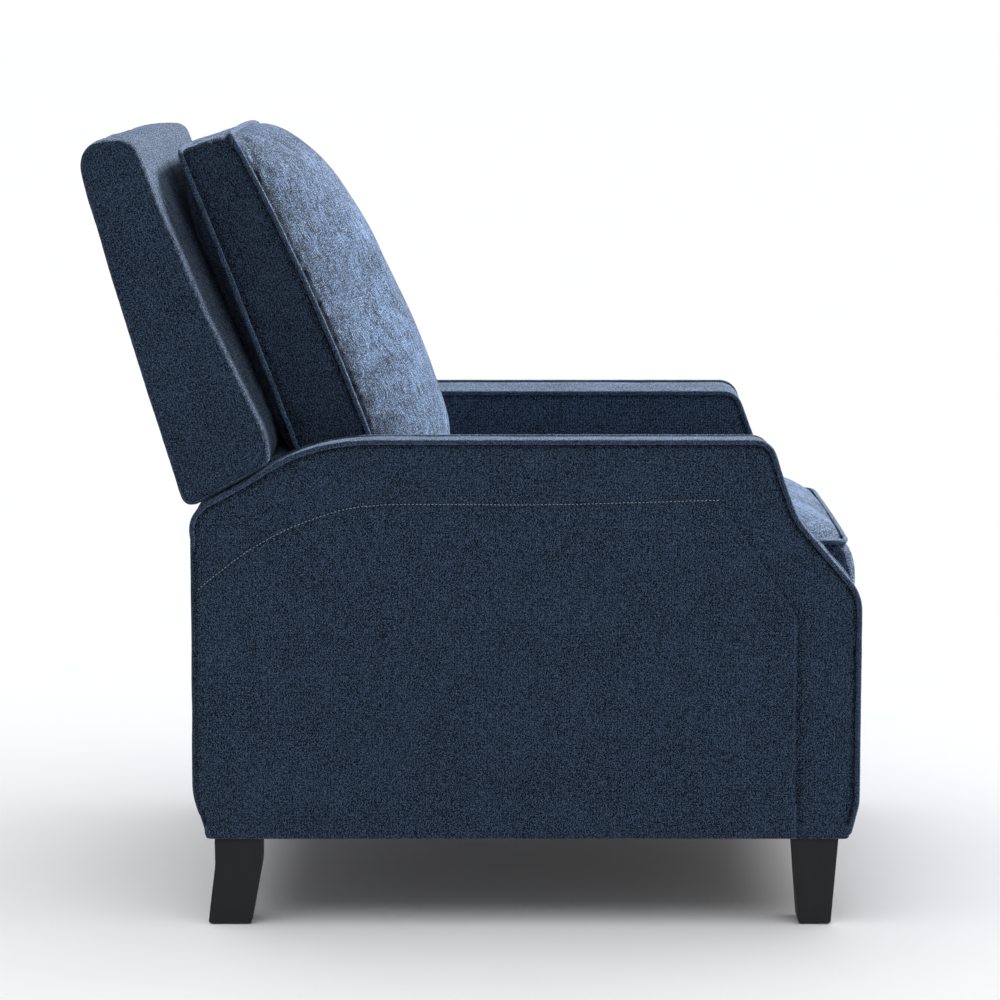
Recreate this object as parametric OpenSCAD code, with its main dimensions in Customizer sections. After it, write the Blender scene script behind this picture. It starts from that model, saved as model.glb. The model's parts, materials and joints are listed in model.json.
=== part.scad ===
// Push-back recliner armchair: box arms on a plywood frame, a reclining back,
// a seat that slides forward and a linked footrest that folds out.
// X points forward, Y to the sitter's left, Z up; the origin is on the floor.

/* [Overall] */
// Width over the arms
body_w = 750; // [700:5:820]
// Thickness of one arm
arm_t = 105; // [80:1:130]
// Height of the arm's flat top
arm_top = 630; // [560:1:680]
// Height of the frame's underside
base_h = 116; // [80:1:160]

/* [Upholstery] */
// Padding over the arm's plywood box
arm_pad = 12; // [6:1:20]
// Half width of the seat cushion
seat_half = 264; // [240:1:268]
// Half width of the back cushion
back_half = 260; // [240:1:266]
// Half width of the outer back
slab_half = 370; // [340:1:375]
// Half width of the back below the arms
lower_half = 256; // [240:1:260]
// Half width of the footrest pad
pad_half = 262; // [240:1:266]

/* [Back] */
// Back pivot, distance behind the origin
pivot_x = -240; // [-260:1:-200]
// Back pivot height
pivot_z = 330; // [300:1:345]
// Lean of the back frame's posts
back_lean = 16.2; // [10:0.1:22]
// Length of the back frame's posts
post_len = 690; // [600:5:700]
// Depth of the back frame's posts
post_d = 38; // [30:1:45]

/* [Footrest linkage] */
// Upper pivot of the front link, on the seat plate
hang_x = 290; // [270:1:310]
hang_z = 280; // [270:1:290]
// Length of the front link
front_link = 150; // [120:1:160]
// Angle of the front link below the horizontal
front_angle = 67; // [60:0.5:75]
// Footrest pivot at rest
foot_x = 415; // [405:1:425]
foot_z = 320; // [300:1:330]
// Width of the links
link_w = 24; // [18:1:30]

/* [Legs] */
// Thickness of a leg across the chair
leg_t = 50; // [40:1:60]
// Gap between a leg's outer face and the arm's
leg_inset = 14; // [8:1:25]
// Thickness of the glides under the legs
glide_t = 1.5; // [1:0.5:6]

/* [Hidden] */

$fn = 48;

arm_out = body_w / 2;          // outer face of an arm
arm_in = arm_out - arm_t;      // inner face of an arm
plate_t = 3;                   // steel plate
gap = 0.5;                     // air between plates that slide past each other
run = 0.05;                    // radial running clearance of the pivots

plate_out = arm_in;                        // base side plate, outer face
web_out = plate_out - plate_t - gap;       // seat plate and back bracket
link1_out = web_out - plate_t - 1.5;       // front link
link2_out = link1_out - plate_t - 1;       // upper link
foot_out = link2_out - plate_t - 1;        // footrest bracket

pivot_r = 6;
rivet_r = 5;
bolt_r = 3.5;
slide_r = 5;
slide_z = 275;
slide_x = [-110, 190];
slide_travel = 60;
tube_r = 9;
tube_z = 236;
tube_x = [-180, 150];
plate_bolt_x = [-270, -20, 270];
plate_x = [-295, 300];         // base side plate
plate_top = 297;

frame_side = arm_in + 6;       // inner face of the arm's plywood box
ply = 15;
window_top = 298;              // the plywood is bare below this, inside the arm
window_x = [-330, 395];
hole_x = [-200, 40, 280];      // lightening holes in the inner panel
hole_z = 420;
hole_r = 55;

rear_x = -345;                 // front face of the rear panel
rear_t = 20;
rear_top = 325;
rail_t = 22;
front_rail_x = 296;
rail_top = 164;
cloth_t = 1.5;                 // dust cover

leg_bolt_x = [442, -306];
leg_bolt_r = 4;
leg_bolt_deep = 35;            // how far the bolts run into the legs
glide_r = 12;
glide_stem_r = 3;
glide_stem = 12;                // length of a glide's stem above its foot

knee_x = hang_x + front_link * cos(front_angle);
knee_z = hang_z - front_link * sin(front_angle);
torque_at = 0.6;               // torque tube, as a share of the front link
torque_r = 8;

board_x = 433;
board_t = 12;
pad_x = board_x + board_t;
pad_front = 497;
pad_low = 120;
pad_top = 350;
screw_r = 2;
screw_grip = 4;                // how far the board's screws run into the pad
board_screw_z = [250, 318];

seat_frame_z = [305, 355];
seat_frame_x = [-168, 408];
seat_frame_half = 243;
board_w = 22;
strap_t = 3;
seat_plate_x = -150;
seat_plate_low = 258;

post_foot = [-262, 300];
post_out = lower_half;
post_w = 22;
post_low = -38;                // where the posts start, along their own length
rail_w = 50;
rail_z = [-30, 340, 640];      // cross rails, along the posts
screw_z = [45, 150];           // bracket screws, along the posts
post_screw_r = 4;

navy = [0.13, 0.19, 0.30];
timber = [0.76, 0.62, 0.42];
black_wood = [0.10, 0.09, 0.09];
steel = [0.36, 0.37, 0.39];
zinc = [0.72, 0.73, 0.74];
black_cloth = [0.06, 0.06, 0.07];
strap = [0.30, 0.26, 0.22];

// ---- outlines: lists of [x, z, corner radius] ----

function unit(v) = v / norm(v);
function flat(p) = [p[0], p[1]];

// The points of one rounded corner
function corner(a, p, b, r, steps = 6) =
    r == 0 ? [p] :
    let (u = unit(a - p), v = unit(b - p), half = acos(u * v) / 2,
         t = r / tan(half), c = p + unit(u + v) * r / sin(half),
         s = p + u * t - c, e = p + v * t - c,
         a0 = atan2(s[1], s[0]), turn = atan2(e[1], e[0]) - a0,
         sweep = turn > 180 ? turn - 360 : turn < -180 ? turn + 360 : turn)
    [for (i = [0:steps]) c + r * [cos(a0 + sweep * i / steps), sin(a0 + sweep * i / steps)]];

function rounded(pts) = let (n = len(pts)) [
    for (i = [0:n - 1]) each corner(flat(pts[(i + n - 1) % n]), flat(pts[i]),
                                    flat(pts[(i + 1) % n]), pts[i][2])];

// A parallel copy of an anticlockwise outline, moved inwards by d
function inset(pts, d) = let (n = len(pts)) [
    for (i = [0:n - 1])
        let (p = flat(pts[i]), u = unit(p - flat(pts[(i + n - 1) % n])),
             v = unit(flat(pts[(i + 1) % n]) - p),
             m = unit([-u[1] - v[1], u[0] + v[0]]))
        let (q = p + m * d / (m * [-u[1], u[0]]))
        [q[0], q[1], max(0, pts[i][2] - d)]];

arm_outline = [
    [-350, base_h, 0], [485, base_h, 0], [497, 160, 60], [497, 436.5, 60],
    [411, 533, 90], [372, arm_top, 30], [-204, arm_top, 300], [-365, 542, 45], [-366, 165, 100]];

// The slab's lower edge runs parallel to the arm's rear slope, just above it
slab_outline = [
    [-352, 552, 0], [-257, 604, 8], [-264, 644, 0], [-341, 801, 0], [-397, 936, 40],
    [-429, 1016, 16], [-505, 1018, 34], [-487, 940, 0], [-376, 572, 22]];

lower_outline = [
    [-296, 258, 6], [-262, 258, 6], [-205, 306, 14], [-250, 598, 0], [-265, 598, 0], [-350, 551, 0]];

back_cushion_outline = [
    [-233, 600, 14], [-205, 526, 20], [-70, 526, 30], [-28, 590, 30],
    [-85, 751, 0], [-128, 848, 0], [-192, 960, 60], [-262, 1021, 40], [-300, 1031, 30],
    [-386, 1005, 24], [-377, 968, 0], [-291, 771, 0]];

seat_outline = [
    [-166, 357, 12], [412, 357, 14], [424, 372, 8], [496, 372, 22], [501, 425, 20],
    [486, 492, 14], [440, 529, 50], [320, 532, 60], [-120, 512, 20], [-166, 490, 20]];

pad_outline = [
    [pad_x, pad_low, 3], [pad_front, pad_low, 25], [pad_front, pad_top, 28],
    [pad_x, pad_top, 5]];

front_leg_outline = [[421, glide_t, 3], [462.7, glide_t, 3], [471.7, base_h, 0], [412, base_h, 0]];

// The rear leg curves backwards towards the floor
rear_leg_outline = [
    [-345.5, glide_t, 3], [-290, glide_t, 3], [-283, 40, 120], [-276, 79, 90],
    [-275.5, base_h, 0], [-336.5, base_h, 0], [-336, 79, 90], [-341, 40, 120]];

// ---- building blocks ----

// An X-Z outline as a prism between two Y planes
module slice(pts, y0, y1) {
    translate([0, y1, 0]) rotate([90, 0, 0]) linear_extrude(y1 - y0) polygon(pts);
}

// A Y-Z outline as a prism between two X planes
module front_slice(pts, x0, x1) {
    translate([x0, 0, 0]) rotate([90, 0, 90]) linear_extrude(x1 - x0) polygon(pts);
}

// A straight box between two corners
module block(low, high) {
    translate(low) cube(high - low);
}

// A round bar along Y
module bar(x, z, r, y0, y1) {
    translate([x, y1, z]) rotate([90, 0, 0]) cylinder(r = r, h = y1 - y0);
}

// The outline of a flat bar with round ends at two pivots
function stadium(a, b, r) = let (t = atan2(b[1] - a[1], b[0] - a[0])) concat(
    [for (i = [0:12]) b + r * [cos(t - 90 + 15 * i), sin(t - 90 + 15 * i)]],
    [for (i = [0:12]) a + r * [cos(t + 90 + 15 * i), sin(t + 90 + 15 * i)]]);

module link(a, b, w, y0, y1) {
    slice(stadium(a, b, w / 2), y0, y1);
}

// The same shape on the right (-Y) or the left (+Y)
module on_side(side) {
    if (side == "left") children();
    else mirror([0, 1, 0]) children();
}

module both_sides() {
    on_side("left") children();
    on_side("right") children();
}

// A pillow outline seen from the front: bowed top, rounded corners
function pillow(half, low, edge, crown, r) = rounded([
    [-half, low, r], [half, low, r], [half, edge, r], [half * 0.5, (edge + 3 * crown) / 4, 200],
    [-half * 0.5, (edge + 3 * crown) / 4, 200], [-half, edge, r]]);

// ---- base ----

// The space that the plywood box fills inside an arm, open underneath
module box_space(low) {
    box = inset(arm_outline, arm_pad);
    slice(rounded(box), frame_side, arm_out - arm_pad);
    block([box[0][0], frame_side, low], [box[1][0], arm_out - arm_pad, base_h + arm_pad + 1]);
}

module window(y0, low) {
    block([window_x[0], y0, low], [window_x[1], frame_side, window_top]);
}

module arm(side) {
    color(navy) on_side(side) difference() {
        slice(rounded(arm_outline), arm_in, arm_out);
        box_space(base_h - 1);
        window(arm_in - 1, base_h - 1);
    }
}

module leg_bolt_at(r, z0, z1) {
    for (x = leg_bolt_x)
        translate([x, arm_out - leg_inset - leg_t / 2, z0]) cylinder(r = r, h = z1 - z0);
}

module arm_frame(side) {
    hollow = inset(arm_outline, arm_pad + ply);
    color(timber) on_side(side) difference() {
        union() {
            box_space(base_h);
            window(arm_in, base_h);
        }
        slice(rounded(hollow), frame_side + ply, arm_out - arm_pad - ply);
        for (x = hole_x) bar(x, hole_z, hole_r, frame_side - 1, frame_side + ply + 1);
        leg_bolt_at(leg_bolt_r + run, base_h - 1, base_h + arm_pad + ply + 1);
        for (x = plate_bolt_x) bar(x, tube_z, bolt_r + run, arm_in - 1, frame_side + ply + 1);
    }
}

module rear_panel() {
    color(navy) block([rear_x - rear_t, -arm_in, base_h], [rear_x, arm_in, rear_top]);
}

module rear_rail() {
    color(timber) block([rear_x, -arm_in, base_h + cloth_t], [rear_x + rail_t, arm_in, rail_top]);
}

module front_rail() {
    x = front_rail_x;
    color(timber) block([x, -arm_in, base_h + cloth_t], [x + rail_t, arm_in, rail_top]);
}

// Glued triangles that tie the rails to the arms
module corner_blocks() {
    size = 40;
    color(timber) both_sides() {
        translate([rear_x + rail_t, arm_in, base_h + cloth_t]) linear_extrude(size)
            polygon([[0, 0], [0, -size], [size, 0]]);
        translate([front_rail_x, arm_in, base_h + cloth_t]) linear_extrude(size)
            polygon([[0, 0], [-size, 0], [0, -size]]);
    }
}

module dust_cover() {
    color(black_cloth)
        block([rear_x, -arm_in, base_h], [front_rail_x + rail_t, arm_in, base_h + cloth_t]);
}

module leg(pts, side, bolt_x) {
    outer = arm_out - leg_inset;
    color(black_wood) on_side(side) difference() {
        slice(rounded(pts), outer - leg_t, outer);
        translate([bolt_x, outer - leg_t / 2, base_h - leg_bolt_deep])
            cylinder(r = leg_bolt_r + run, h = leg_bolt_deep + 1);
        translate([foot_mid(pts), outer - leg_t / 2, glide_t - 1])
            cylinder(r = glide_stem_r + run, h = glide_stem + 1);
    }
}
function foot_mid(pts) = (pts[0][0] + pts[1][0]) / 2;

module leg_bolts() {
    color(zinc) both_sides()
        leg_bolt_at(leg_bolt_r, base_h - leg_bolt_deep, base_h + arm_pad + ply);
}

module leg_glides() {
    color(black_cloth) both_sides()
        for (pts = [front_leg_outline, rear_leg_outline])
            translate([foot_mid(pts), arm_out - leg_inset - leg_t / 2, 0]) {
                cylinder(r = glide_r, h = glide_t);
                cylinder(r = glide_stem_r, h = glide_t + glide_stem);
            }
}

module side_plate(side) {
    low = tube_z - 18;
    color(steel) on_side(side) difference() {
        union() {
            block([plate_x[0], plate_out - plate_t, low], [plate_x[1], plate_out, plate_top]);
            link([pivot_x, 290], [pivot_x, pivot_z], 56, plate_out - plate_t, plate_out);
        }
        bar(pivot_x, pivot_z, pivot_r, plate_out - plate_t - 1, plate_out + 1);
        for (x = plate_bolt_x)
            bar(x, tube_z, bolt_r + run, plate_out - plate_t - 1, plate_out + 1);
        for (x = slide_x)
            link([x - 1, slide_z], [x + slide_travel + 1, slide_z], 2 * slide_r + 1,
                 plate_out - plate_t - 1, plate_out + 1);
    }
}

module cross_tube(x) {
    end = plate_out - plate_t;
    color(steel) difference() {
        bar(x, tube_z, tube_r, -end, end);
        bar(x, tube_z, tube_r - 2, -end - 1, end + 1);
    }
}

module plate_bolts() {
    color(zinc) both_sides() for (x = plate_bolt_x) {
        bar(x, tube_z, bolt_r, plate_out - plate_t, frame_side + ply);
        bar(x, tube_z, 7, plate_out - plate_t - 3, plate_out - plate_t);
    }
}

module back_pivots() {
    head = web_out - plate_t - 0.3;
    color(zinc) both_sides() {
        bar(pivot_x, pivot_z, pivot_r, head - 1, plate_out);
        bar(pivot_x, pivot_z, 10, head - 2.6, head);
    }
}

// ---- seat ----

module seat_frame() {
    x = seat_frame_x;
    z = seat_frame_z;
    color(timber) difference() {
        block([x[0], -seat_frame_half, z[0]], [x[1], seat_frame_half, z[1]]);
        block([x[0] + board_w, -seat_frame_half + board_w, z[0] - 1],
              [x[1] - board_w, seat_frame_half - board_w, z[1] + 1]);
    }
}

// Straps woven flat across the frame, front to back and side to side
module seat_webbing() {
    half = seat_frame_half - board_w;
    x0 = seat_frame_x[0] + board_w;
    x1 = seat_frame_x[1] - board_w;
    z = seat_frame_z[1] - 8;
    color(strap) {
        for (y = [-160:80:160]) block([x0, y - 25, z], [x1, y + 25, z + strap_t]);
        for (i = [0:4]) {
            x = x0 + 60 + i * 105;
            block([x - 25, -half, z], [x + 25, half, z + strap_t]);
        }
    }
}

module seat_cushion() {
    color(navy) intersection() {
        slice(rounded(seat_outline), -seat_half, seat_half);
        front_slice(pillow(seat_half, 350, 500, 532, 12), -200, 520);
    }
}

module seat_plate(side) {
    inner = web_out - plate_t;
    color(steel) on_side(side) difference() {
        union() {
            block([seat_plate_x, inner, seat_plate_low], [hang_x - 12, web_out, seat_frame_z[0]]);
            bar(hang_x, hang_z, 16, inner, web_out);
            block([hang_x - 20, inner, hang_z - 16], [hang_x, web_out, hang_z + 16]);
            // flange under the seat frame
            block([seat_plate_x, seat_frame_half - 40, seat_frame_z[0] - plate_t],
                  [265, web_out, seat_frame_z[0]]);
        }
        bar(hang_x, hang_z, rivet_r, inner - 1, web_out + 1);
        for (x = slide_x) bar(x, slide_z, slide_r, inner - 1, web_out + 1);
    }
}

// Pins that ride in the base plates' slots
module slide_pins() {
    inner = web_out - plate_t;
    color(zinc) both_sides() for (x = slide_x) {
        bar(x, slide_z, slide_r, inner, plate_out - 0.4);
        bar(x, slide_z, 8, inner - 1, inner);
    }
}

module link_pivots() {
    color(zinc) both_sides() {
        bar(hang_x, hang_z, rivet_r, link1_out - plate_t - 0.5, web_out);
        bar(hang_x, hang_z, 8, link1_out - plate_t - 0.9, link1_out - plate_t - 0.3);
        bar(hang_x, hang_z, 8, link1_out + 0.3, web_out - plate_t);
    }
}

// ---- back ----

// Local frame of the posts: Z along them, X across their depth
module along_posts() {
    translate([post_foot[0], 0, post_foot[1]]) rotate([0, -back_lean, 0]) children();
}

// One cross rail of the back frame, z up the posts
module back_rail(z) {
    inner = post_out - post_w;
    along_posts() block([-post_d / 2, -inner, z], [post_d / 2, inner, z + rail_w]);
}

module posts(low) {
    for (s = [-1, 1]) along_posts()
        block([-post_d / 2, s > 0 ? post_out - post_w : -post_out, low],
              [post_d / 2, s > 0 ? post_out : post_w - post_out, post_len]);
}

module back_slab() {
    color(navy) difference() {
        intersection() {
            slice(rounded(slab_outline), -slab_half, slab_half);
            front_slice(pillow(slab_half, 500, 1012, 1024, 14), -520, -200);
        }
        // space for the frame, open below
        along_posts() block([-post_d / 2, -post_out, 0], [post_d / 2, post_out, post_len]);
    }
}

module back_lower_panel() {
    color(navy) difference() {
        slice(rounded(lower_outline), -lower_half, lower_half);
        posts(post_low);
        for (z = rail_z) back_rail(z);
        // clear of the bracket's pivot
        both_sides() bar(pivot_x, pivot_z, 14, lower_half - 3, lower_half + 1);
    }
}

module back_frame() {
    color(timber) difference() {
        union() {
            posts(post_low);
            for (z = rail_z) back_rail(z);
        }
        both_sides() along_posts() for (z = screw_z)
            bar(0, z, post_screw_r, post_out - post_w - 1, post_out + 1);
    }
}

module back_webbing() {
    inner = post_out - post_w;
    color(strap) along_posts()
        for (z = [400:65:595])
            block([post_d / 2 - 2 - strap_t, -inner, z], [post_d / 2 - 2, inner, z + 45]);
}

module back_cushion() {
    color(navy) intersection() {
        slice(rounded(back_cushion_outline), -back_half, back_half);
        front_slice(pillow(back_half, 500, 1005, 1031, 16), -420, 20);
    }
}

module back_bracket(side) {
    inner = web_out - plate_t;
    color(steel) on_side(side) difference() {
        union() {
            link([pivot_x, pivot_z], [pivot_x - 26, pivot_z + 6], 36, inner, web_out);
            along_posts() block([-16, inner, 12], [16, web_out, 190]);
            // packing between the plate and the post
            along_posts() block([-16, post_out, 12], [8, inner, 190]);
        }
        bar(pivot_x, pivot_z, pivot_r + run, inner - 1, web_out + 1);
        along_posts() for (z = screw_z) {
            bar(0, z, post_screw_r, post_out - 1, web_out + 1);
            bar(0, z, 7, web_out - 2, web_out + 1);
        }
    }
}

module bracket_screws() {
    color(zinc) both_sides() along_posts() for (z = screw_z) {
        bar(0, z, post_screw_r, post_out - post_w, web_out - 2);
        bar(0, z, 7, web_out - 2, web_out);
    }
}

// ---- footrest linkage ----

module front_link_bar(side) {
    inner = link1_out - plate_t;
    color(steel) on_side(side) difference() {
        link([hang_x, hang_z], [knee_x, knee_z], link_w, inner, link1_out);
        bar(hang_x, hang_z, rivet_r + run, inner - 1, link1_out + 1);
        bar(knee_x, knee_z, rivet_r, inner - 1, link1_out + 1);
    }
}

module torque_tube() {
    end = link1_out - plate_t;
    x = hang_x + (knee_x - hang_x) * torque_at;
    z = hang_z + (knee_z - hang_z) * torque_at;
    color(steel) difference() {
        bar(x, z, torque_r, -end, end);
        bar(x, z, torque_r - 2, -end - 1, end + 1);
    }
}

module knee_rivets() {
    inner = link2_out - plate_t;
    color(zinc) both_sides() {
        bar(knee_x, knee_z, rivet_r, inner - 0.5, link1_out);
        bar(knee_x, knee_z, 8, inner - 1.5, inner - 0.3);
    }
}

module upper_link_bar(side) {
    inner = link2_out - plate_t;
    color(steel) on_side(side) difference() {
        link([knee_x, knee_z], [foot_x, foot_z], link_w, inner, link2_out);
        bar(knee_x, knee_z, rivet_r + run, inner - 1, link2_out + 1);
        bar(foot_x, foot_z, rivet_r, inner - 1, link2_out + 1);
    }
}

module foot_rivets() {
    inner = foot_out - plate_t;
    color(zinc) both_sides() {
        bar(foot_x, foot_z, rivet_r, inner - 0.5, link2_out);
        bar(foot_x, foot_z, 8, inner - 1.5, inner - 0.3);
    }
}

module footrest_board() {
    color(timber) difference() {
        block([board_x, -pad_half + 12, pad_low + 6], [pad_x, pad_half - 12, pad_top - 6]);
        board_screw_places(1);
    }
}

module footrest_pad() {
    color(navy) difference() {
        intersection() {
            slice(rounded(pad_outline), -pad_half, pad_half);
            front_slice(rounded([for (c = [[-1, pad_low], [1, pad_low], [1, pad_top], [-1, pad_top]])
                                 [c[0] * pad_half, c[1], 10]]), pad_x - 1, pad_front + 1);
        }
        board_screw_places(1);
    }
}

module board_screw_places(extra) {
    both_sides() for (z = board_screw_z)
        translate([board_x - plate_t - extra, foot_out - 22, z]) rotate([0, 90, 0])
            cylinder(r = screw_r + extra * run, h = plate_t + board_t + screw_grip + extra);
}

module board_screws() {
    color(zinc) {
        board_screw_places(0);
        both_sides() for (z = board_screw_z)
            translate([board_x - plate_t - 2, foot_out - 22, z]) rotate([0, 90, 0])
                cylinder(r = 2 * screw_r, h = 2);
    }
}

module footrest_bracket(side) {
    inner = foot_out - plate_t;
    color(steel) on_side(side) difference() {
        union() {
            link([foot_x, foot_z], [board_x - 15, 245], 30, inner, foot_out);
            block([foot_x + 4, inner, 230], [board_x, foot_out, foot_z + 12]);
            block([board_x - plate_t, foot_out - 40, 230], [board_x, foot_out, foot_z + 12]);
        }
        bar(foot_x, foot_z, rivet_r + run, inner - 1, foot_out + 1);
        board_screw_places(1);
    }
}

arm("right");  // arm_right
arm("left");  // arm_left
arm_frame("right");  // arm_frame_right
arm_frame("left");  // arm_frame_left
rear_panel();
rear_rail();
front_rail();
dust_cover();
corner_blocks();
leg(front_leg_outline, "right", leg_bolt_x[0]);  // leg_front_right
leg(front_leg_outline, "left", leg_bolt_x[0]);  // leg_front_left
leg(rear_leg_outline, "right", leg_bolt_x[1]);  // leg_rear_right
leg(rear_leg_outline, "left", leg_bolt_x[1]);  // leg_rear_left
leg_bolts();
leg_glides();
side_plate("right");  // side_plate_right
side_plate("left");  // side_plate_left
cross_tube(tube_x[1]);  // cross_tube_front
cross_tube(tube_x[0]);  // cross_tube_rear
plate_bolts();
back_pivots();
seat_frame();
seat_webbing();
seat_cushion();
seat_plate("right");  // seat_plate_right
seat_plate("left");  // seat_plate_left
slide_pins();
link_pivots();
back_slab();
back_lower_panel();
back_frame();
back_webbing();
back_cushion();
back_bracket("right");  // back_bracket_right
back_bracket("left");  // back_bracket_left
bracket_screws();
front_link_bar("right");  // front_link_right
front_link_bar("left");  // front_link_left
torque_tube();
knee_rivets();
upper_link_bar("right");  // upper_link_right
upper_link_bar("left");  // upper_link_left
foot_rivets();
footrest_pad();
footrest_board();
footrest_bracket("right");  // footrest_bracket_right
footrest_bracket("left");  // footrest_bracket_left
board_screws();
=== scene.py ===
import json
import math

import bpy
import numpy as np
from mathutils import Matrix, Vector, noise
from mathutils.bvhtree import BVHTree


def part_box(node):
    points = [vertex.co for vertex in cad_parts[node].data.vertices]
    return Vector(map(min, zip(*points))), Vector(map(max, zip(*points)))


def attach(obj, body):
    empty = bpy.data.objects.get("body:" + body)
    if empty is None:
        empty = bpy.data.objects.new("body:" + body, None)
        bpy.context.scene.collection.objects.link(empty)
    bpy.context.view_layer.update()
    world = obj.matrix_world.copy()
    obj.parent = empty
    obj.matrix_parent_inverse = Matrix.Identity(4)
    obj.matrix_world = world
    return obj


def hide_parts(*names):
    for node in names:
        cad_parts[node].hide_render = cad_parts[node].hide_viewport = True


# A push-back recliner in navy chenille. Metres, in the row frame: X forward, Z up,
# Y to the sitter's left. Each soft CAD solid is replaced by an upholstered piece.

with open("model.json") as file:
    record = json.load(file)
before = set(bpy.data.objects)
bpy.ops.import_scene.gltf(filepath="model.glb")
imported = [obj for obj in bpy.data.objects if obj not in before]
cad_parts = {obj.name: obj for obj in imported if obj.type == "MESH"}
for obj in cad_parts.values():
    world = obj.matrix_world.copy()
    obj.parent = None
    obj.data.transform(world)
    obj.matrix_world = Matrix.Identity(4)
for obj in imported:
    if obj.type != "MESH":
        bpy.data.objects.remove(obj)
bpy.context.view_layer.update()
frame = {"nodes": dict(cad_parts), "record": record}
MM = 0.001

ARM_LOW, ARM_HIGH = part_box("arm_left")
SLAB_LOW, SLAB_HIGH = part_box("back_slab")
CUSHION_LOW, CUSHION_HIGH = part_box("back_cushion")
SEAT_LOW, SEAT_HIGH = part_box("seat_cushion")
PAD_LOW, PAD_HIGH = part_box("footrest_pad")
LOWER_LOW, LOWER_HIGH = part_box("back_lower_panel")
REAR_LOW, REAR_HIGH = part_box("rear_panel")
ARM_IN = ARM_LOW.y + 1.5 * MM       # the left cover's side faces before it is puffed
ARM_OUT = ARM_HIGH.y - 3.0 * MM

WELT = 3.5 * MM             # radius of the self-covered piping
SEAM_REACH = 9 * MM         # how far from a seam the cover is held when a cushion swells
PATH_STEP = 4 * MM          # between the points of a path that others are measured from
SOFT_VOXEL = 6 * MM         # mesh size of the cushions, the outer back and the panels
ARM_VOXEL = 2.6 * MM        # finer, for the arms' grooves and crease
FULL_WITHIN = 0.026         # how far from its edge an arm's padding reaches its fullness
NO_GROOVE = 0.03            # a distance from the edge that is clear of the piping's groove
FAR = 9.0                   # further than anything here
# where an arm's stitch row ends and its crease starts
ARM_KNEE = (ARM_HIGH.x - 0.1835, ARM_HIGH.z - 0.072)

LEAN = math.radians(20)     # the back's lean, which its pile follows
RIB_PITCH = 0.0038          # of the chenille's ribs
SLUB_SCALE = 1050.0         # of the noise that makes its slubs
NAVY_DARK = (0.0016, 0.0031, 0.0062)    # between the slubs
NAVY_PALE = (0.0600, 0.0980, 0.1700)    # on the slubs
NAVY_RUBBED = (0.060, 0.095, 0.155, 1)  # on worn edges
NAVY_SHEEN = (0.46, 0.63, 0.95, 1)

# the lights' directions, from the chair towards the light
KEY_FROM = (0.56, 0.58, 0.59)
FILL_FROM = (0.35, -0.85, 0.40)
ABOVE = (0.0, 0.0, 1.0)

# the photograph's viewpoint
CAMERA_PLACE = (0.0332, -4.787, 1.1648)
CAMERA_TILT = math.radians(82.175)      # 90 degrees would be level
CAMERA_LENS, CAMERA_SENSOR = 125.86, 36     # millimetres


# ---- outlines ----

def unit(v):
    return v / np.linalg.norm(v)


def resample(path, step, closed=False):
    """The same path in even steps, as an array."""
    path = np.asarray(path, float)
    if closed:
        path = np.vstack([path, path[:1]])
    lengths = np.linalg.norm(np.diff(path, axis=0), axis=1)
    along = np.concatenate([[0], np.cumsum(lengths)])
    count = max(2, round(along[-1] / step))
    places = np.linspace(0, along[-1], count + 1)
    out = np.stack([np.interp(places, along, path[:, k]) for k in range(path.shape[1])], 1)
    return out[:-1] if closed else out


def rounded(corners, step=6 * MM, closed=True):
    """Corners (x, z, radius) joined by straight runs and arcs, in even steps."""
    out = []
    n = len(corners)
    for i, (x, z, r) in enumerate(corners):
        p = np.array((x, z))
        if r == 0 or (not closed and i in (0, n - 1)):
            out.append(p)
            continue
        a = unit(np.array(corners[i - 1][:2]) - p)
        b = unit(np.array(corners[(i + 1) % n][:2]) - p)
        half = math.acos(np.clip(a @ b, -1, 1)) / 2
        centre = p + unit(a + b) * r / math.sin(half)
        first = p + a * r / math.tan(half) - centre
        last = p + b * r / math.tan(half) - centre
        for t in np.linspace(0, 1, 9):
            out.append(centre + r * unit(first * (1 - t) + last * t))
    return resample(out, step, closed)


def outward(loop):
    """Unit normals of an anticlockwise closed X-Z loop, pointing out."""
    d = np.roll(loop, -1, 0) - np.roll(loop, 1, 0)
    d /= np.linalg.norm(d, axis=1)[:, None]
    return np.stack([d[:, 1], -d[:, 0]], 1)


def to_path(spots, path):
    """Distance of each X-Z spot to a path, and the place along it from 0 to 1."""
    path = resample(path, PATH_STEP)
    best = np.full(len(spots), FAR)
    where = np.zeros(len(spots))
    for i, p in enumerate(path):
        d = np.hypot(spots[:, 0] - p[0], spots[:, 1] - p[1])
        closer = d < best
        best[closer] = d[closer]
        where[closer] = i / (len(path) - 1)
    return best, where


def curve(*corners):
    """A smooth open line through all its corners."""
    p = np.array(corners, float)
    p = np.vstack([2 * p[0] - p[1], p, 2 * p[-1] - p[-2]])
    out = []
    for a, b, c, d in zip(p, p[1:], p[2:], p[3:]):
        for t in np.linspace(0, 1, 12, endpoint=False):
            out.append(b + t * ((c - a) / 2 + t * ((2 * a - 5 * b + 4 * c - d) / 2
                                                   + t * (3 * b - a - 3 * c + d) / 2)))
    return np.array(out + [p[-2]])


def bezier(a, b, c):
    """A quadratic curve through a and c that passes b half-way."""
    a, b, c = (np.array(p, float) for p in (a, b, c))
    mid = 2 * b - (a + c) / 2

    def at(t):
        t = t[:, None]
        return (1 - t) ** 2 * a + 2 * t * (1 - t) * mid + t ** 2 * c

    return at


# ---- meshes ----

def new_object(name, verts, faces):
    mesh = bpy.data.meshes.new(name)
    mesh.from_pydata([tuple(v) for v in verts], [], faces)
    mesh.update()
    obj = bpy.data.objects.new(name, mesh)
    bpy.context.scene.collection.objects.link(obj)
    return obj


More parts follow.
